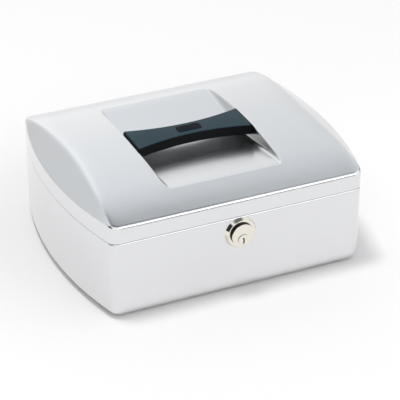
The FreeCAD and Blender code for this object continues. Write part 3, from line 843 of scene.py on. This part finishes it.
@dataclass
class Handle:
    """The fixed carrying bar, its bare plate and its screws.

    The rim is a share of a screw head's height, and the tip's sizes are shares of the shank's radius.
    """

    head_radius: float = 2.9 * MM
    head_height: float = 2.0 * MM
    head_rim: float = 0.35
    head_rows: int = 6
    shank_radius: float = 1.5 * MM
    tip_radius: float = 0.6
    tip_length: float = 0.5
    lean: float = math.radians(11)
    cross_width: float = 0.75 * MM
    cross_reach: float = 3.4 * MM
    cross_depth: float = 1.1 * MM
    facets: int = 40

    def screw(self, length: float) -> Pattern:
        """Tree of a pan head screw with a cross recess.

        Args:
            length: Shank from under the head.

        Returns:
            The closed tree.
        """
        pattern = Pattern("handle_screw", {
            "Head Radius": self.head_radius, "Head Height": self.head_height,
            "Shank Radius": self.shank_radius, "Shank Length": length, "Cross Width": self.cross_width,
            "Cross Reach": self.cross_reach, "Cross Depth": self.cross_depth, "Facets": self.facets})
        head, high = pattern.size("Head Radius"), pattern.size("Head Height")
        shank, long = pattern.size("Shank Radius"), pattern.size("Shank Length")
        profile = [(0.0, -long), (shank * self.tip_radius, -long), (shank, -long + shank * self.tip_length),
                   (shank, 0.0), (head, 0.0),
                   *dome(head, high * self.head_rim, high * (1 - self.head_rim), self.head_rows)]
        turned = pattern.lathe(profile, pattern.size("Facets"))
        board = pattern.board
        width, reach, deep = (pattern.size("Cross " + n) for n in ("Width", "Reach", "Depth"))
        cut = board.node("GeometryNodeMeshBoolean", {"operation": "DIFFERENCE", "solver": "EXACT"},
                         {"Mesh 1": turned})
        lift = board.node("ShaderNodeCombineXYZ", {}, {"Z": high})
        for x, y in ((width, reach), (reach, width)):
            size = board.node("ShaderNodeCombineXYZ", {}, {"X": x, "Y": y, "Z": deep * 2})
            bar = board.node("GeometryNodeMeshCube", {}, {"Size": size})
            raised = board.node("GeometryNodeTransform", {}, {"Geometry": bar, "Translation": lift})
            board.tree.links.new(raised.socket, pick(cut.socket.node.inputs, "Mesh 2"))
        pattern.close(cut)
        return pattern

    def outward(self, island: Island) -> Vector:
        """The way from a screw's tip to its head."""
        side = math.copysign(1, island.middle.x)
        return Vector((side * math.cos(self.lean), 0, -math.sin(self.lean)))

    def build(self) -> None:
        """Makes the screws and dresses the bar and its plate."""
        found = islands("handle_screws")
        seats = []
        for island in found:
            axis = self.outward(island)
            top = island.mean + axis * island.reach(axis)
            seats.append(Seat(top - axis * self.head_height, axis))
        axis = self.outward(found[0])
        length = found[0].reach(axis) + found[0].reach(-axis) - self.head_height
        screws = self.screw(length).grow("cross_screws", seats, ZINC)
        stand_in(screws, "handle_screws", Body.LID)
        dress(GRIP, "handle")
        dress(PLATE, "handle_plate")


@dataclass
class Hinges:
    """Two hinges across the back, with their pins and rivets.

    The rim is a share of a rivet head's height.
    """

    head_radius: float = 2.5 * MM
    head_height: float = 0.9 * MM
    head_rim: float = 0.2
    head_rows: int = 6
    shank_radius: float = 1.5 * MM
    facets: int = 40

    def rivet(self, grip: float) -> Pattern:
        """Tree of a rivet with a domed head at each end.

        Args:
            grip: Thickness of what the rivet holds.

        Returns:
            The closed tree.
        """
        pattern = Pattern("leaf_rivet", {
            "Head Radius": self.head_radius, "Head Height": self.head_height,
            "Shank Radius": self.shank_radius, "Grip": grip, "Facets": self.facets})
        head, high, shank = (pattern.size(n) for n in ("Head Radius", "Head Height", "Shank Radius"))
        half = pattern.size("Grip") * 0.5
        crown = dome(head, half + high * self.head_rim, high * (1 - self.head_rim), self.head_rows)
        upper = [(shank, half), (head, half), *crown]
        lower = [(radius, -height) for radius, height in reversed(upper)]
        pattern.close(pattern.lathe(lower + upper, pattern.size("Facets")))
        return pattern

    def build(self) -> None:
        """Makes the rivets and dresses the leaves and pins."""
        for node, name, body in (("base_leaf_rivets", "base_rivets", Body.BASE),
                                 ("lid_leaf_rivets", "lid_rivets", Body.LID)):
            found = islands(node)
            grip = found[0].size.y - 2 * self.head_height
            seats = [Seat(island.middle, BACK) for island in found]
            stand_in(self.rivet(grip).grow(name, seats, ZINC), node, body)
        dress(ZINC, "base_leaf_left", "base_leaf_right", "lid_leaf_left", "lid_leaf_right", "hinge_pins")


@dataclass
class Lock:
    """The key lock in the front: ring, housing, plug, pins, springs, nut and cam.

    Behind the front of the housing and of the plug, painted shade starts and ends at two depths.
    """

    nickel: Colour = (0.84, 0.8, 0.71)
    ring_roughness: float = 0.05
    face_roughness: float = 0.12
    drum_pitch: float = 0.5 * MM
    drum_depth: float = 0.002 * MM
    # depths behind the fronts where the painted shade of the recesses starts and ends
    drum_shade_start: float = 0.25 * MM
    drum_shade_end: float = 0.5 * MM
    plug_shade_start: float = 0.12 * MM
    plug_shade_end: float = 0.3 * MM
    pin_chamfer: float = 0.3 * MM
    pin_facets: int = 24
    wire: float = 0.35 * MM
    wire_facets: int = 10
    spring_turns: float = 4.0
    turn_steps: int = 24

    def pins(self, node: str, name: str, body: Body) -> None:
        """Makes one row of pins, turned with a chamfer at each end.

        Args:
            node: Node that the row replaces.
            name: Name of the new piece.
            body: Body that it moves with.
        """
        found = islands(node)
        size = found[0].size
        pattern = Pattern(name, {"Radius": size.x / 2, "Length": size.z, "Chamfer": self.pin_chamfer,
                                 "Facets": self.pin_facets})
        radius, long, edge = (pattern.size(n) for n in ("Radius", "Length", "Chamfer"))
        profile = [(0.0, 0.0), (radius - edge, 0.0), (radius, edge), (radius, long - edge),
                   (radius - edge, long), (0.0, long)]
        pattern.close(pattern.lathe(profile, pattern.size("Facets")))
        seats = [island.seat() for island in found]
        stand_in(pattern.grow(name, seats, BRASS), node, body)

    def springs(self) -> None:
        """Makes the pin springs as wire wound on a helix."""
        found = islands("pin_springs")
        size = found[0].size
        pattern = Pattern("wound_spring", {
            "Coil Radius": (size.x - self.wire) / 2, "Height": size.z - self.wire,
            "Wire Radius": self.wire / 2, "Turns": self.spring_turns, "Turn Steps": self.turn_steps,
            "Wire Facets": self.wire_facets})
        board = pattern.board
        coil = board.node("GeometryNodeCurveSpiral", {}, {
            "Resolution": pattern.size("Turn Steps"), "Rotations": pattern.size("Turns"),
            "Start Radius": pattern.size("Coil Radius"), "End Radius": pattern.size("Coil Radius"),
            "Height": pattern.size("Height")})
        section = board.node("GeometryNodeCurvePrimitiveCircle", {}, {
            "Resolution": pattern.size("Wire Facets"), "Radius": pattern.size("Wire Radius")})
        pattern.close(board.node("GeometryNodeCurveToMesh", {}, {
            "Curve": coil, "Profile Curve": section, "Fill Caps": True}))
        seats = [island.seat(self.wire / 2) for island in found]
        stand_in(pattern.grow("coil_springs", seats, ZINC), "pin_springs", Body.BASE)

    def build(self) -> None:
        """Makes the pins and springs and dresses the rest of the lock."""
        self.pins("driver_pins", "upper_pins", Body.BASE)
        self.pins("key_pins", "lower_pins", Body.PLUG)
        self.springs()
        ring = middle_of("lock_bezel")
        drum_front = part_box("lock_housing")[0].y
        plug_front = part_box("lock_plug")[0].y
        dress(Turned("ring_nickel", self.nickel, self.ring_roughness, axis_x=ring.x, axis_z=ring.z),
              "lock_bezel")
        # the housing and the plug get painted shade in their recesses behind the front
        dress(Turned("drum_nickel", self.nickel, self.face_roughness, axis_x=ring.x, axis_z=ring.z,
                     pitch=self.drum_pitch, depth=self.drum_depth, shade_from=drum_front + self.drum_shade_start,
                     shade_to=drum_front + self.drum_shade_end), "lock_housing")
        dress(Turned("plug_nickel", self.nickel, self.face_roughness, axis_x=ring.x,
                     axis_z=middle_of("key_pins").z, shade_from=plug_front + self.plug_shade_start,
                     shade_to=plug_front + self.plug_shade_end), "lock_plug")
        dress(ZINC, "lock_nut", "lock_cam", "cam_screw")
        dress(BRASS, "chamber_cap")


@dataclass
class CoinTray:
    """The lift-out tray with its coin cups."""

    def build(self) -> None:
        """Dresses the tray."""
        dress(TRAY, "coin_tray")


@dataclass(frozen=True)
class Shade:
    """A darker part of the studio's surround, softened between two angles from its middle, in degrees."""

    way: Colour
    inner: float
    outer: float
    depth: float


@dataclass(frozen=True)
class Lamp:
    """A softbox, and whether glossy surfaces mirror it."""

    name: str
    place: Colour
    size: tuple[float, float]
    watts: float
    mirrored: bool


@dataclass
class Studio:
    """Floor, soft light and camera."""

    floor_half: float = 4.0
    floor_white: Colour = (0.885, 0.865, 0.855)
    azimuth: float = -23.8
    elevation: float = 31.4
    distance: float = 1.526
    focal_pixels: float = 1777.0
    image: int = 400
    target: Colour = (0.0, 0.00025, 0.002)
    target_pixel: tuple[float, float] = (188.35, 227.7)
    sensor: float = 36.0
    clip_start: float = 0.01
    lamps: tuple[Lamp, ...] = (
        Lamp("key", (-0.38, 0.15, 2.5), (0.5, 0.5), 26.0, mirrored=False),
        Lamp("front", (0.75, -1.7, 1.25), (1.2, 1.2), 5.0, mirrored=True),
    )
    lamp_aim: Colour = (0.0, 0.0, 0.04)
    sky: tuple[tuple[float, float], ...] = (
        (0.0, 0.95), (0.3, 1.02), (0.52, 1.06), (0.69, 1.02),
        (0.83, 0.8), (0.89, 0.46), (0.93, 0.18), (1.0, 0.16),
    )
    sky_level: float = 1.12
    sky_tint: Colour = (0.955, 1.0, 1.04)
    tint_from: float = 0.1
    tint_to: float = 0.9
    shades: tuple[Shade, ...] = (
        Shade((-0.935, -0.147, 0.32), 22, 31, 0.97),
        Shade((0.955, 0.257, 0.09), 12, 22, 0.95),
        Shade((0.37, -0.92, 0.14), 9, 20, 0.8),
        Shade((-0.504, 0.781, 0.327), 20, 40, 0.36),
        Shade((0.75, 0.5, 0.45), 10, 45, 0.3),
    )

    def floor(self) -> None:
        """A plain pale floor."""
        half = self.floor_half
        mesh = bpy.data.meshes.new("floor")
        corners = [(-half, -half, 0), (half, -half, 0), (half, half, 0), (-half, half, 0)]
        mesh.from_pydata(corners, [], [(0, 1, 2, 3)])
        ground = bpy.data.objects.new("floor", mesh)
        bpy.context.scene.collection.objects.link(ground)
        paint = bpy.data.materials.new("floor")
        paint.use_nodes = True
        board = Board(paint.node_tree)
        shader = board.node("ShaderNodeBsdfDiffuse", {}, {"Color": self.floor_white})
        board.node("ShaderNodeOutputMaterial", {}, {"Surface": shader})
        mesh.materials.append(paint)

    def surround(self) -> None:
        """Soft light from all round, bright over the horizon and darker overhead."""
        world = bpy.data.worlds.new("studio")
        world.use_nodes = True
        board = Board(world.node_tree)
        way = board.node("ShaderNodeTexCoord").out("Generated")
        height = board.axes(way).out("Z")
        level = board.node("ShaderNodeValToRGB", {"stops": self.sky}, {"Fac": height}) * self.sky_level
        for shade in self.shades:
            lean = board.node("ShaderNodeVectorMath", {"operation": "DOT_PRODUCT"},
                              {0: way, 1: Vector(shade.way).normalized()}).out("Value")
            inside = lean.smooth(math.cos(math.radians(shade.outer)), math.cos(math.radians(shade.inner)))
            level = level * (1 - shade.depth * inside)
        tint = board.mix(height.smooth(self.tint_from, self.tint_to), (1.0, 1.0, 1.0), self.sky_tint)
        shone = board.node("ShaderNodeVectorMath", {"operation": "SCALE"}, {0: tint, "Scale": level})
        glow = board.node("ShaderNodeBackground", {}, {"Color": shone})
        board.node("ShaderNodeOutputWorld", {}, {"Surface": glow})
        bpy.context.scene.world = world

    def hang(self, lamp: Lamp) -> None:
        """Sets up a softbox that points at the box.

        Args:
            lamp: The softbox.
        """
        light = bpy.data.lights.new(lamp.name, "AREA")
        light.shape = "RECTANGLE"
        light.size, light.size_y = lamp.size
        light.energy = lamp.watts
        hung = bpy.data.objects.new(lamp.name, light)
        hung.location = lamp.place
        hung.rotation_euler = self.turn_to(self.lamp_aim, lamp.place)
        hung.visible_glossy = lamp.mirrored
        hung.visible_camera = False
        bpy.context.scene.collection.objects.link(hung)

    @staticmethod
    def turn_to(aim: Sequence[float], place: Sequence[float]) -> Euler:
        """Turn of a lamp or camera that looks from its place at a point."""
        return (Vector(aim) - Vector(place)).to_track_quat("-Z", "Y").to_euler()

    def camera(self) -> None:
        """The photograph's viewpoint, turned so that the box's middle falls on its pixel."""
        a, e = math.radians(self.azimuth), math.radians(self.elevation)
        back = Vector((math.sin(a) * math.cos(e), -math.cos(a) * math.cos(e), math.sin(e)))
        right = Vector((math.cos(a), math.sin(a), 0))
        up = back.cross(right)
        middle = (self.image - 1) / 2
        pixel = self.distance / self.focal_pixels
        aim = Vector(self.target) + right * (middle - self.target_pixel[0]) * pixel
        aim += up * (self.target_pixel[1] - middle) * pixel
        lens = bpy.data.cameras.new("camera")
        lens.sensor_width = self.sensor
        lens.lens = self.sensor * self.focal_pixels / self.image
        lens.clip_start = self.clip_start
        camera = bpy.data.objects.new("camera", lens)
        camera.location = Vector(self.target) + back * self.distance
        camera.rotation_euler = self.turn_to(aim, camera.location)
        bpy.context.scene.collection.objects.link(camera)
        bpy.context.scene.camera = camera

    def build(self) -> None:
        """Sets up the studio."""
        self.floor()
        self.surround()
        for lamp in self.lamps:
            self.hang(lamp)
        self.camera()
        bpy.context.scene.view_settings.view_transform = "Standard"


def main() -> None:
    """Builds the box's looks and its studio."""
    logging.basicConfig(level=logging.INFO, format="%(name)s: %(message)s")
    for group in (Case(), Lid(), Handle(), Hinges(), Lock(), CoinTray(), Studio()):
        group.build()
        log.info("built %s", type(group).__name__)


if __name__ == "__main__":
    main()
